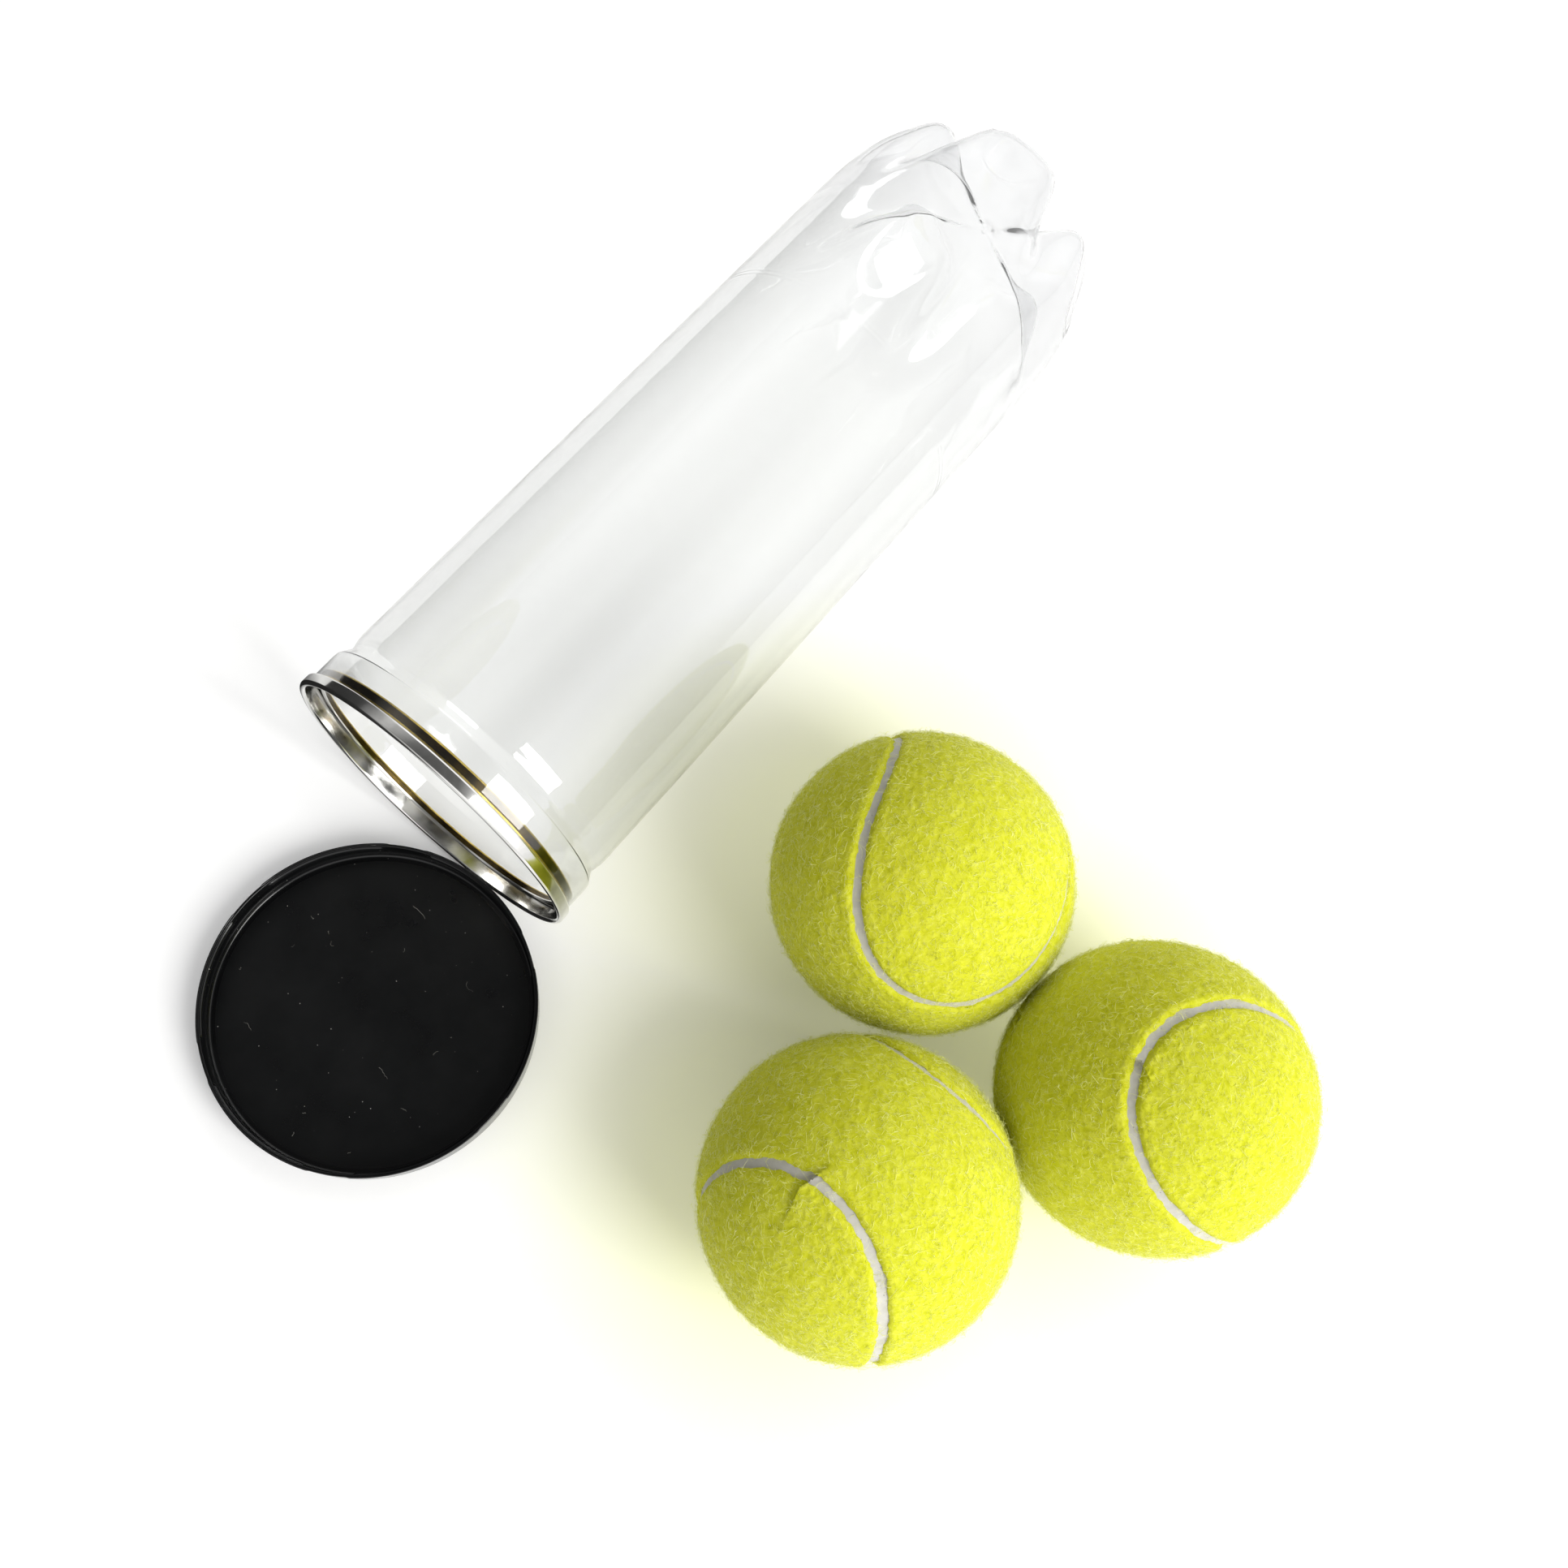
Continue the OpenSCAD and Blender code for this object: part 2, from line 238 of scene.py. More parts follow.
# ---- Node materials ----
class Graph:
    """The node tree of a material or world, built by naming each node's kind and inputs."""

    def __init__(self, owner):
        self.owner = owner
        owner.use_nodes = True
        self.tree = owner.node_tree
        self.tree.nodes.clear()

    def add(self, kind, inputs=None, **settings):
        """A node; an input that is a socket gets a link, and any other is set to its value."""
        node = self.tree.nodes.new("ShaderNode" + kind)
        for key, value in settings.items():
            setattr(node, key, value)
        for key, value in (inputs or {}).items():
            socket = node.inputs[key]
            if isinstance(value, bpy.types.NodeSocket):
                self.tree.links.new(value, socket)
            else:
                socket.default_value = value
        return node

    def place(self, stretch=(1, 1, 1)):
        """Coordinates in millimetres on the object, which move with it."""
        coordinates = self.add("TexCoord").outputs["Object"]
        scale = [s / MM for s in stretch]
        return self.add("Mapping", {"Vector": coordinates, "Scale": scale}).outputs[0]

    def noise(self, where, size, detail=3.0, roughness=0.55, distortion=0.0):
        return self.add("TexNoise", {
            "Vector": where, "Scale": 1 / size, "Detail": detail, "Roughness": roughness,
            "Distortion": distortion,
        }).outputs["Fac"]

    def ramp(self, fac, stops):
        node = self.add("ValToRGB", {"Fac": fac})
        elements = node.color_ramp.elements
        while len(elements) < len(stops):
            elements.new(0.5)
        for element, (position, colour) in zip(elements, stops):
            element.position = position
            element.color = colour if len(colour) == 4 else (*colour, 1)
        return node.outputs["Color"]

    def levels(self, fac, stops):
        return self.ramp(fac, [(position, grey(level)) for position, level in stops])

    def specks(self, where, apart, size, chance):
        """1 in scattered round specks and 0 elsewhere; size is a share of their distance."""
        cells = self.add("TexVoronoi", {"Vector": where, "Scale": 1 / apart, "Randomness": 1.0},
                         feature="F1")
        draw = self.add("SeparateColor", {"Color": cells.outputs["Color"]}).outputs[0]
        inside = self.span(cells.outputs["Distance"], *size, 1, 0)
        return self.math("MULTIPLY", inside, self.span(draw, *chance, 0, 1))

    def span(self, value, from_low, from_high, to_low, to_high):
        return self.add("MapRange", {
            "Value": value, "From Min": from_low, "From Max": from_high,
            "To Min": to_low, "To Max": to_high,
        }).outputs["Result"]

    def math(self, operation, a, b=0.0):
        return self.add("Math", {0: a, 1: b}, operation=operation).outputs[0]

    def mix(self, fac, a, b, blend="MIX"):
        return self.add("Mix", {0: fac, 6: a, 7: b}, data_type="RGBA",
                        blend_type=blend).outputs[2]

    def bump(self, height, depth, strength=1.0):
        return self.add("Bump", {
            "Height": height, "Distance": depth * MM, "Strength": strength}).outputs["Normal"]

    def blend(self, fac, a, b):
        return self.add("MixShader", {0: fac, 1: a.outputs[0], 2: b.outputs[0]})

    def done(self, shader, kind="OutputMaterial"):
        self.add(kind, {"Surface": shader.outputs[0]})
        return self.owner


def new_graph(name):
    return Graph(bpy.data.materials.new(name))


def grey(v):
    return (v, v, v, 1)


# What clear plastic lets through at each surface, and the heights beside BASE_TOP where
# the wall's plastic ends and the base's thicker plastic begins
WALL_TINT, BASE_TINT = (0.93, 0.935, 0.933, 1), (0.905, 0.908, 0.912, 1)
TINT_FADE = (8, -12)


def clear_plastic():
    """Clear blown polyester: smooth, with faint ripples and haze."""
    g = new_graph("clear_polyester")
    where = g.place()
    haze = g.noise(where, 18, 4, 0.6)
    ripple = g.noise(where, 9, 2, 0.5)
    fine = g.noise(where, 0.9, 2, 0.5)
    rough = g.span(haze, 0.35, 0.75, 0.0, 0.045)
    height = g.math("ADD", ripple, g.math("MULTIPLY", fine, 0.03))
    along = g.add("SeparateXYZ", {"Vector": where}).outputs["X"]
    fade = [(can_matrix() @ Vector((0, 0, BASE_TOP + z))).x for z in TINT_FADE]
    colour = g.mix(g.span(along, *fade, 0, 1), WALL_TINT, BASE_TINT)
    glass = g.add("BsdfPrincipled", {
        "Base Color": colour, "Roughness": rough, "IOR": 1.5,
        "Transmission Weight": 1.0, "Normal": g.bump(height, 0.02),
    })
    # Light that only passes through on its way to something else goes straight
    path = g.add("LightPath")
    lamp_rays = g.math("MAXIMUM", path.outputs["Is Shadow Ray"], path.outputs["Is Diffuse Ray"])
    through = g.add("BsdfTransparent", {"Color": (0.985, 0.986, 0.983, 1)})
    return g.done(g.blend(lamp_rays, glass, through))


def tinplate():
    """Bright rolled tinplate with fine marks along the rolling direction."""
    g = new_graph("tinplate_bright")
    where = g.place()
    smear = g.noise(where, 5, 4, 0.6, 0.5)
    lines = g.noise(g.place((0.15, 6, 6)), 1.2, 3, 0.6)
    colour = g.ramp(smear, [(0.3, (0.66, 0.655, 0.63)), (0.7, (0.80, 0.795, 0.775))])
    rough = g.span(smear, 0.3, 0.7, 0.06, 0.15)
    shader = g.add("BsdfPrincipled", {
        "Base Color": colour, "Metallic": 1.0, "Roughness": rough,
        "Normal": g.bump(lines, 0.0015, 0.6),
    })
    return g.done(shader)


def gold_lacquer(name, thin, thick):
    """The sheet's other side: clear brown varnish over tinplate, thicker in patches."""
    g = new_graph(name)
    where = g.place()
    patch = g.noise(where, 4.0, 4, 0.55, 0.3)
    speck = g.noise(where, 0.5, 3, 0.6)
    colour = g.ramp(patch, [(0.35, (*thick, 1)), (0.7, (*thin, 1))])
    rough = g.span(speck, 0.3, 0.7, 0.14, 0.26)
    shader = g.add("BsdfPrincipled", {
        "Base Color": colour, "Metallic": 1.0, "Roughness": rough,
        "Coat Weight": 0.3, "Coat Roughness": 0.1, "Normal": g.bump(speck, 0.006, 0.5),
    })
    return g.done(shader)


def lid_plastic(name, finish):
    """Black moulded plastic with dust on it; finish is its roughness span."""
    g = new_graph(name)
    where = g.place()
    cloud = g.noise(where, 14, 4, 0.6)
    grain = g.noise(where, 0.35, 3, 0.6)
    # Dust gathers in drifts
    drift = g.span(g.noise(where, 6, 2), 0.45, 0.6, 0.05, 1)
    dust = g.math("MULTIPLY", g.specks(where, 1.5, (0.055, 0.085), (0.62, 0.64)), drift)
    base = g.ramp(cloud, [(0.3, (0.0022, 0.0024, 0.0026)), (0.7, (0.0036, 0.0038, 0.0040))])
    colour = g.mix(dust, base, (0.36, 0.35, 0.33, 1))
    height = g.math("ADD", grain, g.math("MULTIPLY", dust, 0.3))
    shader = g.add("BsdfPrincipled", {
        "Base Color": colour, "Roughness": g.span(cloud, 0.3, 0.7, *finish),
        "Specular IOR Level": 0.35, "Normal": g.bump(height, 0.012),
    })
    return g.done(shader)


def felt():
    """Napped optic-yellow felt: mottled, with matted fibres and sheen."""
    g = new_graph("yellow_felt")
    where = g.place()
    clump = g.noise(where, 1.5, 5, 0.62, 0.8)
    fibre = g.noise(where, 0.28, 4, 0.7, 2.2)
    wide = g.noise(where, 16, 2, 0.5)
    blend = g.math("ADD", g.math("MULTIPLY", clump, 0.5), g.math("MULTIPLY", fibre, 0.5))
    colour = g.ramp(blend, [
        (0.30, (0.41, 0.435, 0.003)), (0.46, (0.59, 0.61, 0.015)),
        (0.60, (0.70, 0.71, 0.07)), (0.75, (0.85, 0.855, 0.34))])
    colour = g.mix(g.span(wide, 0.35, 0.65, 0.0, 0.10), colour, (0.60, 0.54, 0.01, 1))
    height = g.math("ADD", g.math("MULTIPLY", clump, 0.7), g.math("MULTIPLY", fibre, 0.3))
    shader = g.add("BsdfPrincipled", {
        "Base Color": colour, "Roughness": g.span(fibre, 0.3, 0.7, 0.85, 1.0),
        "Specular IOR Level": 0.15, "Sheen Weight": 0.06, "Sheen Roughness": 0.5,
        "Sheen Tint": (1.0, 1.0, 0.6, 1), "Normal": g.bump(height, 0.3, 0.7),
    })
    return g.done(shader)


def fuzz():
    """Loose felt fibres, which let some light through."""
    g = new_graph("felt_fibre")
    tone = g.noise(g.place(), 0.9, 2, 0.5)
    colour = g.ramp(tone, [(0.3, (0.75, 0.77, 0.12)), (0.7, (0.92, 0.93, 0.54))])
    hair = g.add("BsdfPrincipled", {
        "Base Color": colour, "Roughness": g.span(tone, 0.3, 0.7, 0.45, 0.6),
        "Specular IOR Level": 0.35})
    glow = g.add("BsdfTranslucent", {"Color": colour})
    return g.done(g.blend(0.35, hair, glow))


def seam_cement():
    """White vulcanised cement: matt, a little uneven, with pin holes."""
    g = new_graph("seam_cement_white")
    where = g.place()
    cloud = g.noise(where, 2.2, 4, 0.6)
    pit = g.specks(where, 1.1, (0.06, 0.11), (0.55, 0.6))
    colour = g.ramp(cloud, [(0.3, (0.50, 0.485, 0.44)), (0.7, (0.60, 0.585, 0.545))])
    colour = g.mix(g.math("MULTIPLY", pit, 0.75), colour, (0.16, 0.15, 0.13, 1))
    height = g.math("SUBTRACT", g.math("MULTIPLY", cloud, 0.5), pit)
    shader = g.add("BsdfPrincipled", {
        "Base Color": colour, "Roughness": g.span(cloud, 0.3, 0.7, 0.55, 0.8),
        "Normal": g.bump(height, 0.12),
    })
    return g.done(shader)


def plain_rubber(name, low, high, size, rough=(0.7, 0.95), depth=0.05):
    """Matt rubber or dust whose tone varies between two colours, over `size` millimetres."""
    g = new_graph(name)
    grain = g.noise(g.place(), size, 4, 0.6)
    shader = g.add("BsdfPrincipled", {
        "Base Color": g.ramp(grain, [(0.3, low), (0.7, high)]),
        "Roughness": g.span(grain, 0.3, 0.7, *rough), "Normal": g.bump(grain, depth),
    })
    return g.done(shader)


# ---- Camera, at the height and tilt the object is seen from ----
CAMERA_SPOT = Vector((-111.009, -15.222, 335.611))
CAMERA_TURNS = (("Z", 116.8395), ("X", -16.5223), ("Z", -166.6890))
CAMERA_SENSOR, CAMERA_LENS, CAMERA_SHIFT = 36, 32.222, (0.04088, 0.03826)


def make_camera():
    """A camera where the photograph's was, which shows the whole object."""
    data = bpy.data.cameras.new("camera")
    camera = bpy.data.objects.new("camera", data)
    bpy.context.scene.collection.objects.link(camera)
    camera.matrix_world = Matrix.Translation(CAMERA_SPOT * MM) @ turned(*CAMERA_TURNS)
    data.sensor_width, data.lens = CAMERA_SENSOR, CAMERA_LENS
    data.shift_x, data.shift_y = CAMERA_SHIFT
    data.clip_start, data.clip_end = 0.01, 20
    bpy.context.scene.camera = camera


# ---- Soft studio light ----
# A softbox: angles in degrees, distance and size in metres, power in watts
KEY_AZIMUTH, KEY_ELEVATION, KEY_DISTANCE = -92.3, 41.0, 1.5
KEY_SIZE, KEY_POWER, KEY_COLOUR = (0.64, 1.02), 18.0, (1.0, 0.995, 0.98)
# The room's brightness by height, from the floor's level at 0 to overhead at 1, its
# brightness by how far it lies the dark way, and how much that side counts by height
ROOM_BY_HEIGHT = [(0.0, 0.75), (0.30, 1.0), (0.74, 0.92), (0.92, 0.12), (1.0, 0.08)]
ROOM_BY_SIDE = [(0.0, 1.0), (0.55, 1.0), (0.80, 0.06), (1.0, 0.02)]
ROOM_SIDE_SHARE = [(0.0, 1.0), (0.45, 1.0), (0.72, 0.62), (1.0, 0.4)]
DARK_WAY = (-0.35, 0.94, 0.0)
ROOM_STRENGTH = 1.42


def make_key():
    data = bpy.data.lights.new("key", "AREA")
    data.shape = "RECTANGLE"
    data.size, data.size_y = KEY_SIZE
    data.energy, data.color = KEY_POWER, KEY_COLOUR
    key = bpy.data.objects.new("key", data)
    bpy.context.scene.collection.objects.link(key)
    a, e = math.radians(KEY_AZIMUTH), math.radians(KEY_ELEVATION)
    toward = Vector((math.cos(a) * math.cos(e), math.sin(a) * math.cos(e), math.sin(e)))
    key.location = toward * KEY_DISTANCE
    key.rotation_mode = "QUATERNION"
    key.rotation_quaternion = toward.to_track_quat("Z", "Y")


def make_room():
    g = Graph(bpy.data.worlds.new("studio"))
    way = g.add("TexCoord").outputs["Generated"]
    height = g.add("SeparateXYZ", {"Vector": way}).outputs["Z"]
    sideways = g.add("VectorMath", {0: way, 1: DARK_WAY}, operation="DOT_PRODUCT")
    side = g.span(sideways.outputs["Value"], -1, 1, 0, 1)
    colour = g.mix(g.levels(height, ROOM_SIDE_SHARE), g.levels(height, ROOM_BY_HEIGHT),
                   g.levels(side, ROOM_BY_SIDE), "MULTIPLY")
    room = g.add("Background", {"Color": colour, "Strength": ROOM_STRENGTH})
    bpy.context.scene.world = g.done(room, "OutputWorld")
    bpy.context.scene.view_settings.view_transform = "Standard"
    bpy.context.scene.cycles.caustics_refractive = False


# ---- Table ----
# Half the table's sides, and where it ends on the dark side, in metres
TABLE_HALF, TABLE_END = 3.0, 0.42
# The table is lit a little from below, as white backgrounds are
TABLE_GLOW = 0.14
# Painted yellow bounce light round each ball: how far it lies to the ball's far side, the distances
# within which it is full and beyond which it is gone, in millimetres, and its colour
BOUNCE_PAINT_SHIFT, BOUNCE_PAINT_SPAN, BOUNCE_PAINT_TINT = 16.0, (30.0, 78.0), (0.88, 0.885, 0.60, 1)
# The painted dark reflection, standing in for a black card: where it begins and is fully dark along
# Y, where it fades beyond the can's mouth along X, in millimetres, and how much of its darkness is
# left there
DARK_REFLECTION_EDGE, DARK_REFLECTION_FADE, DARK_REFLECTION_SHEER = (122.0, 140.0), (8.0, 24.0), 0.14


def floor_paper():
    """White paper, with painted yellow bounce light beside the balls and a painted dark reflection
    beside the can's mouth.
    """
    g = new_graph("studio_floor")
    where = g.place()
    grain = g.noise(where, 2.0, 4, 0.6)
    colour = g.ramp(grain, [(0.3, grey(0.88)), (0.7, grey(0.90))])
    # Painted bounce light: the felt's yellow in the balls' shadows, stronger than bounced light
    # alone makes it
    near = TABLE_HALF / MM
    for number in BALL_TURNS:
        bounce_spot = ball_matrix(number).translation + Vector((0, BOUNCE_PAINT_SHIFT, -BALL_R))
        apart = g.add("VectorMath", {0: where, 1: bounce_spot}, operation="DISTANCE")
        near = g.math("MINIMUM", apart.outputs["Value"], near)
    colour = g.mix(g.span(near, *BOUNCE_PAINT_SPAN, 1, 0), colour, BOUNCE_PAINT_TINT)
    shader = g.add("BsdfPrincipled", {
        "Base Color": colour, "Roughness": g.span(grain, 0.3, 0.7, 0.85, 0.95),
        "Specular IOR Level": 0.2, "Emission Color": grey(1.0),
        "Emission Strength": TABLE_GLOW,
    })
    # Painted dark reflection: mirrored rays see the table near black by the can's far side, in place
    # of a black card there
    spot = g.add("SeparateXYZ", {"Vector": where})
    mouth_x = (can_matrix() @ Vector((0, 0, CAN_LEN))).x
    fade = [mouth_x + past for past in DARK_REFLECTION_FADE]
    beside = g.span(spot.outputs["Y"], *DARK_REFLECTION_EDGE, 0, 1)
    by_mouth = g.span(spot.outputs["X"], *fade, 1, DARK_REFLECTION_SHEER)
    mirrored = g.add("LightPath").outputs["Is Glossy Ray"]
    painted_dark_reflection = g.math("MULTIPLY", mirrored, g.math("MULTIPLY", beside, by_mouth))
    dark = g.add("BsdfDiffuse", {"Color": grey(0.02)})
    return g.done(g.blend(painted_dark_reflection, shader, dark))


def make_floor():
    mesh = bpy.data.meshes.new("floor")
    x, y = TABLE_HALF, TABLE_END
    mesh.from_pydata([(-x, -x, 0), (x, -x, 0), (x, y, 0), (-x, y, 0)], [], [(0, 1, 2, 3)])
    mesh.materials.append(floor_paper())
    floor = bpy.data.objects.new("floor", mesh)
    bpy.context.scene.collection.objects.link(floor)


# ---- Clear body ----
# The detailed base stays this far inside the CAD's wall where the two meet
BASE_OUT = BODY_R - 0.03
# A foot's outline, (radius, height), from the wall under the foot to the base's middle
FOOT_LINE = [
    (BASE_OUT, BASE_TOP), (BASE_OUT, 34), (BASE_OUT - 0.35, 26.5), (BASE_OUT - 1.5, 18.5),
    (BASE_OUT - 3.8, 11), (FOOT_R + 5.4, 4.6), (FOOT_R + 2.8, 1.1), (FOOT_R, 0),
    (FOOT_R - 2.8, 1.1), (FOOT_R - 7.5, 3.6), (FOOT_R - 14, BASE_RISE - 0.4), (5, BASE_RISE),
    (0, BASE_RISE),
]
# How much blunter the valleys get towards the middle, and where along u they do
VALLEY_SOFTENING, SOFT_SPAN = 2.2, (0.5, 0.95)
# Points round the can, and rows of them down the base
CAN_SEGMENTS, BASE_STEPS = 320, 130
# The wall's thickness in the base, and how much more there is in its middle, where the
# plastic was injected; the gate mark there: its depth, and where it is full and gone
BASE_WALL, MIDDLE_EXTRA = WALL - 0.07, 0.8
GATE_DEPTH, GATE_SPAN = 0.35, (0.8, 4.5)
# The pocket on each foot's outer side: its depth, its half width in degrees, where it
# begins along u, how far its round end reaches and where it fades out
POCKET_DEPTH, POCKET_HALF, POCKET_START = 0.45, 14, 0.22
POCKET_ROUND, POCKET_FADE = 0.11, (0.50, 0.66)
# The height of the line where two mould blocks meet, and how far above and below it the
# two ridges of the line stand
MOULD_LINE, RIDGE_APART = 75.0, 0.6


def base_surface(u, angle):
    """Points of the base's outer skin on a grid of u down the side and angle round it."""
    foot = curve(FOOT_LINE, u)[:, None, :]
    turn = np.radians(90 * u)
    valley = np.stack([BASE_OUT * np.cos(turn), BASE_TOP - BASE_OUT * np.sin(turn)],
                      axis=1)[:, None, :]
    wave = 0.5 + 0.5 * np.cos(np.radians(FEET * (angle - VALLEY_ANGLE)))
    # Blown plastic can't follow the valleys sharply where they meet
    sharpness = VALLEY_SHARPNESS - VALLEY_SOFTENING * smooth(u, *SOFT_SPAN)
    share = (1 - wave[None, :] ** sharpness[:, None])[..., None]
    p = share * foot + (1 - share) * valley
    a = np.radians(angle)[None, :]
    return np.stack([p[..., 0] * np.cos(a), p[..., 0] * np.sin(a), p[..., 1]], axis=-1)


def foot_pocket(u, angle):
    """Share of the shallow pocket with a rounded end on each foot's outer side."""
    turn = np.abs((angle - VALLEY_ANGLE) % (360 / FEET) - 180 / FEET)[None, :]
    width = POCKET_HALF * (np.clip(u - POCKET_START, 0, None) / POCKET_ROUND) ** 0.38
    inside = smooth((width[:, None] - turn) * math.radians(BODY_R - 4), -0.7, 0.7)
    return inside * ((u > POCKET_START - 0.01) * (1 - smooth(u, *POCKET_FADE)))[:, None]


def base_skins():
    """Points of the base's outer and inner skins, row by row from the wall to the middle."""
    angle = np.arange(CAN_SEGMENTS) * 360 / CAN_SEGMENTS
    u = np.linspace(0, 1, BASE_STEPS + 1)[:-1]
    skin = base_surface(u, angle)
    down = base_surface(np.minimum(u + 0.003, 1), angle) - base_surface(
        np.maximum(u - 0.003, 0), angle)
    round_ = base_surface(u, angle + 0.5) - base_surface(u, angle - 0.5)
    inward = unit(np.cross(round_, down))
    a = np.radians(angle)
    inward[0] = np.stack([-np.cos(a), -np.sin(a), np.zeros(CAN_SEGMENTS)], axis=-1)
    thick = BASE_WALL + MIDDLE_EXTRA * smooth(u, 0.66, 0.98)
    skin = skin + inward * (POCKET_DEPTH * foot_pocket(u, angle))[..., None]
    inner = skin + inward * thick[:, None, None]
    from_middle = np.hypot(skin[..., 0], skin[..., 1])
    skin[..., 2] -= GATE_DEPTH * (1 - smooth(from_middle, *GATE_SPAN))
    return skin, inner


def wall_middle():
    """The middle of the wall's thickness, (radius, height), from the mouth to the base."""
    mid = WALL / 2
    neck_r, groove_r, body_r = NECK_R - mid, GROOVE_R - mid, BODY_R - mid
    top, neck, groove = CAN_LEN, CAN_LEN - NECK_LEN, CAN_LEN - GROOVE_DEPTH
    shoulder = CAN_LEN - SHOULDER_DEPTH
    line = [
        (neck_r + 0.35, top - 1.15), (neck_r + 0.33, top - 2.4), (neck_r, top - 3.2),
        (neck_r, top - 6), (neck_r, neck + 0.4), (neck_r - 0.3, neck - 0.6),
        (groove_r + 0.25, groove + 1), (groove_r, groove), (groove_r + 0.15, groove - 1),
        (body_r - 0.06, shoulder + 0.6), (body_r, shoulder - 1),
    ]
    # Rows lie closer together at the mould line
    near = (MOULD_LINE + 3, MOULD_LINE - 2)
    heights = np.concatenate([
        np.linspace(shoulder - 1, near[0], 60)[1:], np.linspace(*near, 41)[1:],
        np.linspace(near[1], BASE_TOP, 16)[1:-1],
    ])
    straight = np.stack([np.full(len(heights), body_r), heights], axis=1)
    return np.concatenate([curve(line, np.linspace(0, 1, 71)), straight])


def wall_skin(middle, shift):
    """Points of one skin of the wall, with faint ripples and the mould line on it."""
    slope = np.gradient(middle, axis=0)
    side = unit(np.stack([-slope[:, 1], slope[:, 0]], axis=1))
    p = lathe(middle + shift * side, CAN_SEGMENTS)
    z = p[..., 2]
    along = smooth(z, BASE_TOP, 60) * (1 - smooth(z, CAN_LEN - 26, CAN_LEN - 18))
    ripple = 0.02 * noise(p, 17, 5) + 0.012 * noise(p * (1, 1, 0.4), 7, 6)
    ridges = 0.02 * np.exp(-(((z - MOULD_LINE - RIDGE_APART) / 0.45) ** 2)) + 0.015 * np.exp(
        -(((z - MOULD_LINE + RIDGE_APART) / 0.4) ** 2))
    return p + unit(p * (1, 1, 0)) * (along * ripple + ridges)[..., None]


def make_can():
    """The clear shell: two skins joined at the mouth, each closed in the base's middle."""
    middle = wall_middle()
    base_outer, base_inner = base_skins()
    outer = np.concatenate([wall_skin(middle, WALL / 2), base_outer])
    inside = np.concatenate([wall_skin(middle, -WALL / 2), base_inner])
    rows, n = len(outer), CAN_SEGMENTS
    count = rows * n
    poles = [[0, 0, BASE_RISE - GATE_DEPTH], [0, 0, BASE_RISE + BASE_WALL + MIDDLE_EXTRA]]
    points = np.concatenate([outer.reshape(-1, 3), inside.reshape(-1, 3), poles])
    quads = grid_faces(rows, n, True)
    j = np.arange(n)
    k = (j + 1) % n
    last = count - n
    mouth = np.stack([j, j + count, k + count, k], axis=1)
    caps = np.concatenate([
        np.stack([last + j, last + k, np.full(n, 2 * count)], axis=1),
        np.stack([count + last + k, count + last + j, np.full(n, 2 * count + 1)], axis=1),
    ])
    faces = [(quads[:, ::-1], 4), (quads + count, 4), (mouth, 4), (caps[:, ::-1], 3)]
    make_piece("can_shell", points, faces, can_matrix(), "can",
               [clear_plastic()], ["can_body"], sharp=50)


# ---- Metal ring left by the pull-off end ----
RING_SEGMENTS = 360
# Radii of the skirt's tucked edge, the countersink and the bend to the panel's stub, and
# how much the chuck wall narrows downwards
TUCK_R, SINK_R, STUB_R, CHUCK_TAPER = 0.4, 0.55, 0.35, 0.3
# How high the stub's bend lies above the middle of the countersink's round bottom
STUB_RISE = 0.9
# Depths below the mouth where the varnish gets a painted gold highlight at its bends: in the
# countersink's bottom, and under the seam
GOLD_HIGHLIGHT_SINK, GOLD_HIGHLIGHT_UNDER_SEAM = SINK_DEPTH - 0.3, (SEAM_H + 0.6, SEAM_H - 0.1)


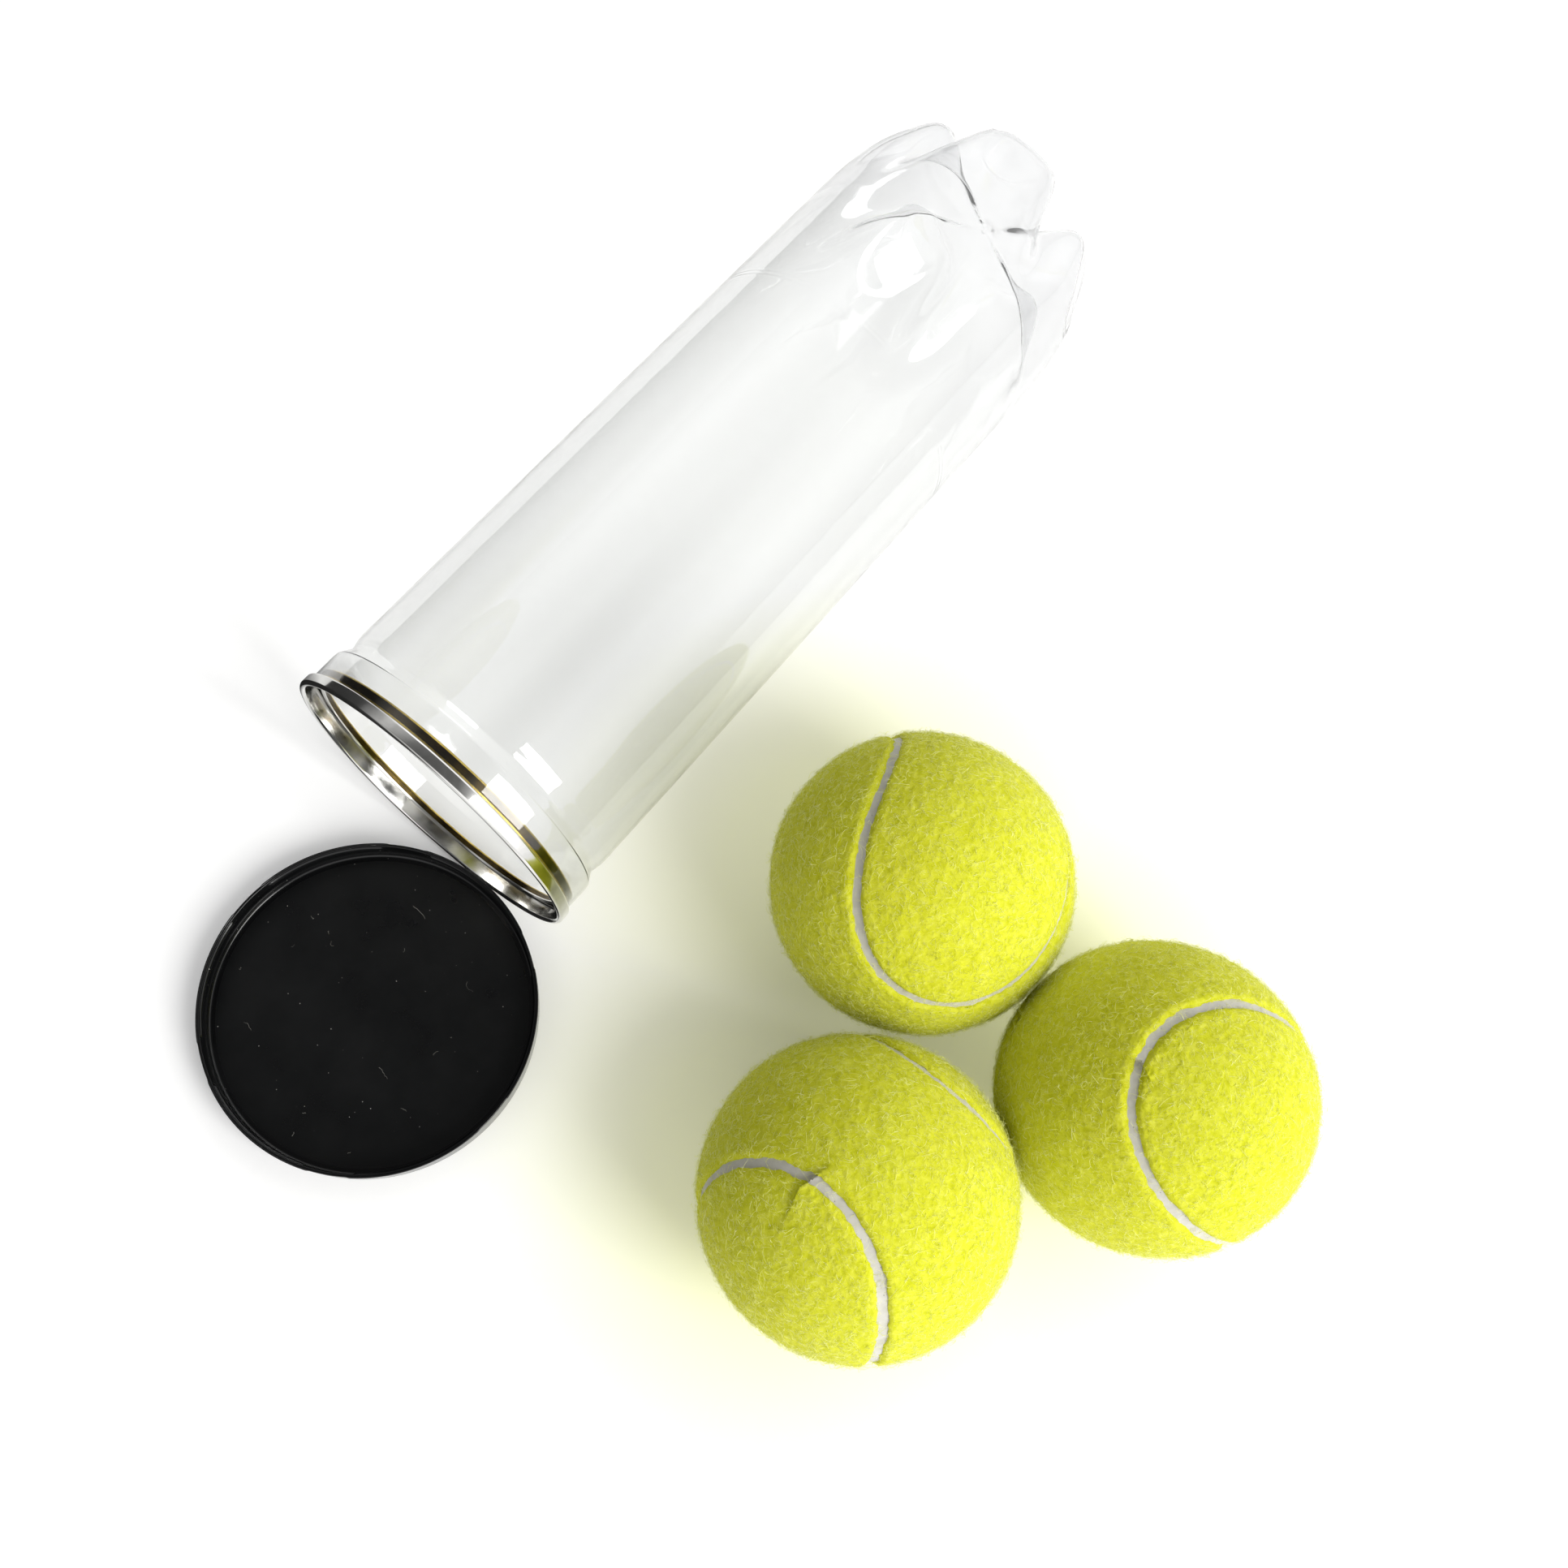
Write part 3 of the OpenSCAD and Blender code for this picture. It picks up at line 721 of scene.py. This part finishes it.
def make_ring():
    """A sheet bent to the seam's hook, chuck wall, countersink and stub, and turned round."""
    skirt_r = SEAM_R - SHEET_T / 2
    top_mid = (skirt_r - FOLD, CAN_LEN - FOLD - SHEET_T / 2)
    chuck_r = skirt_r - 2 * FOLD - CHUCK_TAPER
    sink_mid = np.array([chuck_r - SINK_R, CAN_LEN - SINK_DEPTH + SINK_R])
    path = np.concatenate([
        arc((skirt_r - TUCK_R, CAN_LEN - SEAM_H + TUCK_R + SHEET_T / 2), TUCK_R, -80, 0, 8),
        arc(top_mid, FOLD, 0, 180, 28),
        [(chuck_r + CHUCK_TAPER * (1 - f), top_mid[1] + (sink_mid[1] - top_mid[1]) * f)
         for f in np.linspace(0.04, 0.96, 24)],
        arc(sink_mid, SINK_R, 0, -180, 20),
        arc(sink_mid + (-SINK_R - STUB_R, STUB_RISE), STUB_R, 0, 90, 8),
        [(MOUTH_R, sink_mid[1] + STUB_RISE + STUB_R)],
    ])
    along = np.gradient(path, axis=0)
    side = unit(np.stack([along[:, 1], -along[:, 0]], axis=1))
    outline = np.concatenate([path + side * SHEET_T / 2, (path - side * SHEET_T / 2)[::-1]])
    points = lathe(outline, RING_SEGMENTS)
    # The rolled seam is never quite even: it has shallow flats
    a = np.radians(np.arange(RING_SEGMENTS) * 360 / RING_SEGMENTS)
    wobble = 0.03 * np.sin(9 * a + 0.6) + 0.02 * np.sin(23 * a)
    radial = np.stack([np.cos(a), np.sin(a), np.zeros(RING_SEGMENTS)], axis=-1)
    on_seam = smooth(outline[:, 1], CAN_LEN - 3.4, CAN_LEN - 2.2) * smooth(
        outline[:, 0], SEAM_R - 1.2, SEAM_R - 0.7)
    points = points - radial[None] * (np.abs(wobble)[None, :, None] * on_seam[:, None, None])
    row = np.repeat(np.arange(len(outline)), RING_SEGMENTS)
    # The varnished side shows through the neck as a dark band between two edges painted bright gold,
    # a painted highlight where its bends would catch the light
    depth = CAN_LEN - outline[row, 1]
    varnished = row >= len(path)
    edge = (depth > GOLD_HIGHLIGHT_SINK) | ((depth < GOLD_HIGHLIGHT_UNDER_SEAM[0]) & (depth > GOLD_HIGHLIGHT_UNDER_SEAM[1]))
    brown = gold_lacquer("varnish_brown", (0.10, 0.065, 0.012), (0.02, 0.013, 0.003))
    # A brighter gold for the rows of painted highlight
    gold_highlight = gold_lacquer("varnish_gold_highlight", (0.80, 0.62, 0.16), (0.45, 0.32, 0.05))
    faces = tube_faces(len(outline), RING_SEGMENTS)
    make_piece("rolled_ring", points.reshape(-1, 3), [(faces, 4)], can_matrix(), "can",
               [tinplate(), brown, gold_highlight], ["end_ring"],
               face_material=varnished * (1 + edge), sharp=50)


# ---- Lid ----
LID_SEGMENTS = 540
# The radius between the skirt and the top plate, and of the two ridges on the rim
LID_EDGE, RIM_ROUND = 0.8, 0.22
# Where the floor inside the lid ends, and how far the skirt stands inside the rim
LID_FLOOR_R, SKIRT_IN = 36.6, 0.15
# Snap beads: where each one's end fades, in degrees from its middle, and their middle's
# depth below the rim and half height
BEAD_END, BEAD_DEPTH, BEAD_HALF = (20.5, 22.5), 1.5, 0.8
# The rim is relieved between the beads: where that starts, in degrees, and by how much
RELIEF_START, RELIEF = (23.0, 23.6), 0.16
# A faint ring moulded in the floor, and the gate's dimple in its middle
FLOOR_RING_R, DIMPLE_R = 33.6, 1.2


def lid_outline():
    """The lid's section, (radius, height), from its top's middle round to its floor's."""
    skirt_r, rim_z = LID_R - SKIRT_IN, LID_H - 0.28
    return np.concatenate([
        # The gate's dimple in the middle of the top
        [(0.001, 0.25), (1.6, 0.25), (2.4, 0.22), (2.7, 0.0)],
        np.stack([np.linspace(6, skirt_r - LID_EDGE, 12), np.zeros(12)], axis=1),
        arc((skirt_r - LID_EDGE, LID_EDGE), LID_EDGE, -82, 0, 8),
        [(skirt_r, 2.2), (skirt_r, 4.2), (skirt_r, 6.3), (skirt_r, LID_H - 1.3),
         (LID_R, LID_H - 1.1), (LID_R, LID_H - 0.55)],
        arc((LID_R - RIM_ROUND, rim_z), RIM_ROUND, 0, 90, 4),
        # A fine groove between the rim's two ridges
        [(LID_R - 0.34, LID_H - 0.10), (LID_R - 0.42, LID_H - 0.20), (LID_R - 0.50, LID_H - 0.10)],
        arc((LID_BORE_R + RIM_ROUND, rim_z), RIM_ROUND, 90, 180, 4),
        [(LID_BORE_R, z) for z in np.linspace(LID_H - 0.5, LID_H - 2.5, 15)],
        [(LID_BORE_R, 5.2), (LID_BORE_R, 4.2), (LID_BORE_R, 3.0)],
        arc((LID_BORE_R - LID_EDGE, LID_TOP_T + LID_EDGE), LID_EDGE, 0, -90, 8),
        np.stack([np.linspace(LID_FLOOR_R, 0.001, 30), np.full(30, LID_TOP_T)], axis=1),
    ])


def make_lid():
    outline = lid_outline()
    a = np.arange(LID_SEGMENTS) * 360 / LID_SEGMENTS
    points = lathe(outline, LID_SEGMENTS)
    radius, height = outline[:, 0], outline[:, 1]
    radial = np.stack([
        np.cos(np.radians(a)), np.sin(np.radians(a)), np.zeros(LID_SEGMENTS)], axis=-1)

    # Snap beads on the inner wall
    turn = (a[None, :] + 180 / SNAPS) % (360 / SNAPS) - 180 / SNAPS
    window = 1 - smooth(np.abs(turn), *BEAD_END)
    bead_z = np.clip(1 - ((height - (LID_H - BEAD_DEPTH)) / BEAD_HALF) ** 2, 0, 1) ** 0.5
    on_wall = (np.abs(radius - LID_BORE_R) < 0.01) & (height > LID_H - 2.6)
    bead = (bead_z * on_wall)[:, None] * window * SNAP_IN
    lip = (radius > LID_R - 0.3) & (height > LID_H - 1.2)
    gap = smooth(np.abs(turn), *RELIEF_START)
    relief = lip[:, None] * gap * RELIEF
    points = points - radial[None] * (bead + relief)[..., None]
    # The floor has a faint ring and a dimple, and isn't quite flat
    inside = radius < LID_FLOOR_R + 0.1
    floor = inside & (height > LID_TOP_T - 0.2) & (height < LID_TOP_T + 0.1)
    marks = 0.05 * np.exp(-((radius - FLOOR_RING_R) / 0.35) ** 2) - 0.08 * (radius < DIMPLE_R)
    points[..., 2] += (floor * marks)[:, None]
    warp = 0.03 * noise(points, 14, 21)
    points[..., 2] += np.where(floor[:, None], warp, 0)
    quads = grid_faces(len(outline), LID_SEGMENTS, True)
    satin = np.repeat(inside[:-1], LID_SEGMENTS)
    make_piece("lid_cap", points.reshape(-1, 3), [(quads, 4)], lid_matrix(), "lid",
               [lid_plastic("black_gloss", (0.10, 0.18)),
                               lid_plastic("black_satin", (0.26, 0.34))],
               ["lid"], face_material=satin, sharp=35)


def make_lint(count=16, segments=7):
    """Short curled fibres that lie on the lid's floor."""
    rng = np.random.default_rng(71)
    turn = rng.uniform(0, 2 * math.pi, count)
    out = 34 * np.sqrt(rng.uniform(0, 1, count))
    at = np.stack([out * np.cos(turn), out * np.sin(turn)], axis=-1)
    heading = rng.uniform(0, 2 * math.pi, count)
    bend = rng.normal(0, 0.55, (count, segments))
    length = rng.gamma(2.0, 0.8, count).clip(0.5, 4.5)
    width = rng.uniform(0.035, 0.07, count)
    rows = []
    for step in range(segments + 1):
        way = np.stack([np.cos(heading), np.sin(heading)], axis=-1)
        across = np.stack([-way[:, 1], way[:, 0]], axis=-1) * width[:, None] / 2
        for edge in (-1, 1):
            height = np.full((count, 1), LID_TOP_T + 0.07 + 0.02 * (step % 2))
            rows.append(np.concatenate([at + edge * across, height], axis=1))
        at = at + way * length[:, None] / segments
        heading = heading + (bend[:, step] if step < segments else 0)
    points = np.stack(rows, axis=1).reshape(-1, 3)
    lint = plain_rubber("lint_grey", (0.10, 0.10, 0.09), (0.34, 0.33, 0.30), 3.0)
    make_piece("lid_lint", points, [(ribbon_faces(count, segments), 4)], lid_matrix(), "lid",
               [lint])


# ---- Balls ----
def seam_dir(t):
    """Directions along the seam's closed curve, at t degrees round it."""
    t = np.radians(t)
    w = SEAM_WAIST
    return np.stack([
        (1 - w) * np.cos(t) + w * np.cos(3 * t),
        (1 - w) * np.sin(t) - w * np.sin(3 * t),
        2 * math.sqrt(w * (1 - w)) * np.sin(2 * t),
    ], axis=-1)


def seam_side(t):
    """Directions across the seam, towards panel a."""
    return unit(np.cross(seam_dir(t), seam_dir(t + 1) - seam_dir(t - 1)))


def beside_seam(t, across):
    """Directions that lie `across` millimetres on the felt to one side of the seam."""
    return unit(seam_dir(t) + (np.asarray(across) / BALL_R)[..., None] * seam_side(t))


# Where a ball's seam has a lifted overlap: how far round the seam, how high, towards which
# end of the seam, and how its edge slants across the seam on either side
FLAPS = {2: (221.5, 1.15, 1, 0.42, 0.42), 3: (315.5, 0.85, -1, 0.0, 0.9)}
# An overlap's fall along the seam and the groove before it, and its reach to either side
FLAP_FALL, GROOVE_DEEP, GROOVE_LONG, FLAP_REACH = 5.0, 0.4, 2.5, (6.5, 3.4)
# Panel b is panel a turned half a turn about X
TURN_OVER = np.array([[1, 0, 0], [0, -1, 0], [0, 0, -1]], float)


def flap_height(number, directions):
    """How far the overlap of a ball's seam lifts the skin, in millimetres."""
    if number not in FLAPS:
        return np.zeros(directions.shape[:-1])
    t, rise, way, slant_low, slant_high = FLAPS[number]
    spot = seam_dir(np.array(t))
    ahead = unit(seam_dir(np.array(t + 1)) - seam_dir(np.array(t - 1)))
    across = seam_side(np.array(t))
    s = BALL_R * (directions @ ahead)
    n = BALL_R * (directions @ across)
    near = (directions @ spot) > 0
    edge = slant_low * np.clip(n, -2.5, 0) + slant_high * np.clip(n, 0, 3)
    s = way * (s - edge)
    lifted = smooth(s, -0.1, 0.1)
    step = lifted * np.exp(-np.clip(s, 0, None) / FLAP_FALL)
    groove = -GROOVE_DEEP * np.exp(-(np.clip(-s, 0, None) / GROOVE_LONG) ** 1.5) * (1 - lifted)
    reach = np.exp(-(np.abs(n) / np.where(n < 0, *FLAP_REACH)) ** 1.7)
    return near * rise * (step + groove) * reach


def ragged(t, seed):
    """The felt's uneven cut along the seam, in millimetres."""
    where = seam_dir(t) * BALL_R
    return 0.32 * noise(where, 2.8, seed) + 0.3 * noise(where, 1.1, seed + 1) + 0.2 * noise(
        where, 7.0, seed + 2) + 0.14 * noise(where, 0.5, seed + 3)


def felt_skin(number, panel):
    """Directions of a panel's grid: ribs from one side of its edge to the other."""
    seed = 40 * number + (0 if panel == "a" else 20)
    t = -45 + 180 * np.arange(PANEL_RIBS + 1) / PANEL_RIBS
    middle = SEAM_W / 2 - FELT_OVER
    a = beside_seam(t, middle + ragged(t, seed))
    b = beside_seam(-90 - t, middle + ragged(-90 - t, seed))
    angle = np.arccos(np.clip(np.sum(a * b, axis=-1), -1, 1))[:, None]
    x = np.linspace(-1, 1, PANEL_ROWS + 1)
    f = (0.5 + 0.5 * (1.25 * x - 0.25 * x**3))[None, :]
    # Ribs as short as a point at the panel's ends need a plain blend
    wide = angle > 0.02
    safe = np.where(wide, np.sin(angle), 1)
    share_a = np.where(wide, np.sin((1 - f) * angle) / safe, 1 - f)
    share_b = np.where(wide, np.sin(f * angle) / safe, f)
    d = unit(share_a[..., None] * a[:, None] + share_b[..., None] * b[:, None])
    return d if panel == "a" else d @ TURN_OVER.T


def edge_distance(directions):
    """Distance of each direction from the seam's centre line, in millimetres."""
    line = seam_dir(np.arange(0, 360, 0.75))
    flat = directions.reshape(-1, 3)
    best = np.full(len(flat), -1.0)
    for start in range(0, len(line), 60):
        best = np.maximum(best, (flat @ line[start:start + 60].T).max(axis=1))
    return (BALL_R * np.arccos(np.clip(best, -1, 1))).reshape(directions.shape[:-1])


# How far the raised nap stands above the ball's nominal radius
NAP = 0.22
# How far the felt's edge reaches over the seam from its nominal line, how far it rolls
# down there, and how much it swells just inside
FELT_OVER, EDGE_ROLL, EDGE_SWELL = 0.26, 0.85, 0.08
PANEL_RIBS, PANEL_ROWS, PANEL_INNER_ROWS = 300, 120, 12
# The seam's steps round the ball, how far it reaches under the felt, and the share of an
# overlap's height that it follows
SEAM_STEPS, SEAM_OVERLAP, SEAM_FOLLOWS = 900, 0.42, 0.9


def pressed_flat(points, number, lowest):
    """A ball's points, in its own frame, with none below `lowest` above the table."""
    m = np.array(ball_matrix(number))
    placed = points @ m[:3, :3].T + m[:3, 3]
    placed[..., 2] = np.maximum(placed[..., 2], lowest)
    return (placed - m[:3, 3]) @ m[:3, :3]


def felt_radius(number, directions):
    """The felt's outer surface: matted bumps, rolled down at its edge, and the overlap."""
    p = directions * BALL_R
    seed = 7 * number
    bumps = 0.07 * noise(p, 2.6, seed) + 0.09 * noise(p, 1.1, seed + 1) + 0.10 * noise(
        p, 0.6, seed + 2) + 0.08 * noise(p, 9, seed + 3)
    off = edge_distance(directions) - SEAM_W / 2 + 0.25
    roll = 1 - smooth(off, -0.5, 1.3)
    swell = EDGE_SWELL * np.exp(-((off - 1.8) ** 2))
    rolled = bumps * (1 - 0.4 * roll) - EDGE_ROLL * roll**1.6
    return BALL_R + NAP + rolled + swell + flap_height(number, directions)


def make_felt(number, panel, material):
    """One felt panel: its napped skin, its glued inner side and the cut edge between."""
    ribs, rows, inner_rows = PANEL_RIBS, PANEL_ROWS, PANEL_INNER_ROWS
    d = felt_skin(number, panel)
    outer = pressed_flat(d * felt_radius(number, d)[..., None], number, 0.02)
    pick = np.linspace(0, rows, inner_rows + 1).round().astype(int)
    inner = d[:, pick] * (FELT_IN + 0.02)
    columns, inner_columns = rows + 1, inner_rows + 1
    count = (ribs + 1) * columns
    points = np.concatenate([outer.reshape(-1, 3), inner.reshape(-1, 3)])
    quads = grid_faces(ribs + 1, columns)
    inside = grid_faces(ribs + 1, inner_columns, first=count)
    i = np.arange(ribs)
    low = np.stack([i * columns, (i + 1) * columns, count + (i + 1) * inner_columns,
                    count + i * inner_columns], axis=1)
    high = np.stack([i * columns + rows, count + i * inner_columns + inner_rows,
                     count + (i + 1) * inner_columns + inner_rows, (i + 1) * columns + rows], axis=1)
    faces = [(quads[:, ::-1], 4), (inside, 4), (low[:, ::-1], 4), (high[:, ::-1], 4)]
    make_piece(f"ball_{number}_felt_panel_{panel}", points, faces, ball_matrix(number),
               BODIES[number], [material], [f"ball_{number}_felt_{panel}"], sharp=70)


def make_seam(number, material):
    """The cement between the panels: a slightly hollow face over a square strip."""
    t = 360 * np.arange(SEAM_STEPS) / SEAM_STEPS
    half = SEAM_W / 2 + SEAM_OVERLAP
    rows = []
    for w in np.linspace(-half, half, 11):
        d = beside_seam(t, np.full(SEAM_STEPS, w))
        p = d * BALL_R
        r = BALL_R - SEAM_RECESS - 0.10 + 0.10 * (w / half) ** 2 + 0.05 * noise(
            p, 1.6, 90 + number) + 0.03 * noise(p, 0.6, 95 + number)
        rows.append(d * (r + SEAM_FOLLOWS * flap_height(number, d))[:, None])
    for w in (half, -half):
        rows.append(beside_seam(t, np.full(SEAM_STEPS, w)) * (FELT_IN + 0.05))
    points = pressed_flat(np.array(rows), number, 0.05).reshape(-1, 3)
    faces = tube_faces(len(rows), SEAM_STEPS)
    make_piece(f"ball_{number}_seam_strip", points, [(faces, 4)],
               ball_matrix(number), BODIES[number], [material],
               [f"ball_{number}_seam"], sharp=60)


def make_fuzz(number, material, strands=24500, segments=4):
    """Curled loose fibres as thin ribbons rooted in the felt."""
    rng = np.random.default_rng(500 + number)
    root = unit(rng.normal(size=(strands, 3)))
    off = edge_distance(root) - SEAM_W / 2
    root = root[off > -0.4]
    strands = len(root)
    side = unit(np.cross(root, rng.normal(size=(strands, 3))))
    other = np.cross(root, side)
    length = rng.gamma(4.0, 0.5, strands).clip(0.8, 4.6)
    lift = 0.12 + 0.5 * rng.uniform(0, 1, strands) + 1.0 * rng.uniform(0, 1, strands) ** 8
    curl = rng.normal(0, 2.4, strands)
    twist = rng.uniform(0, 2 * math.pi, strands)
    width = rng.uniform(0.06, 0.13, strands)
    heading = np.zeros(strands)
    along = np.zeros((strands, 2))
    base_r = felt_radius(number, root)
    rows = []
    for s in range(segments + 1):
        f = s / segments
        rise = lift * math.sin(math.pi * min(f * 0.8, 1)) - 0.12 * (1 - f)
        p = root * BALL_R + side * along[:, :1] + other * along[:, 1:]
        p = unit(p) * (base_r + rise)[:, None]
        across = unit(other * np.cos(twist + curl * f)[:, None]
                      + root * np.sin(twist + curl * f)[:, None])
        taper = (width * (1 - 0.6 * f))[:, None]
        rows.append(p - across * taper / 2)
        rows.append(p + across * taper / 2)
        heading = heading + curl / segments * 1.4
        step = length / segments
        along = along + np.stack([np.cos(heading), np.sin(heading)], axis=1) * step[:, None]
    points = pressed_flat(np.stack(rows, axis=1), number, 0.03).reshape(-1, 3)
    make_piece(f"ball_{number}_fuzz", points, [(ribbon_faces(strands, segments), 4)],
               ball_matrix(number), BODIES[number], [material])


make_camera()
make_key()
make_room()
make_floor()
make_can()
make_ring()
make_lid()
make_lint()
felt_material, fuzz_material, cement_material = felt(), fuzz(), seam_cement()
for ball in (1, 2, 3):
    make_felt(ball, "a", felt_material)
    make_felt(ball, "b", felt_material)
    make_seam(ball, cement_material)
    make_fuzz(ball, fuzz_material)

# ---- CAD nodes that stay as they are, with their materials ----
core_material = plain_rubber("core_rubber_grey", (0.20, 0.19, 0.17), (0.30, 0.29, 0.26), 1.4)
joint_material = plain_rubber("core_cement_tan", (0.46, 0.40, 0.27), (0.60, 0.53, 0.38), 0.8)
compound = plain_rubber("sealing_rubber", (0.36, 0.35, 0.31), (0.5, 0.49, 0.45), 0.5,
                        rough=(0.6, 0.85), depth=0.04)
kept = {"sealing_compound": compound}
for ball in (1, 2, 3):
    kept[f"ball_{ball}_core_a"] = core_material
    kept[f"ball_{ball}_core_b"] = core_material
    kept[f"ball_{ball}_core_cement"] = joint_material
for name, material in kept.items():
    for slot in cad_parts[name].material_slots:
        slot.material = material
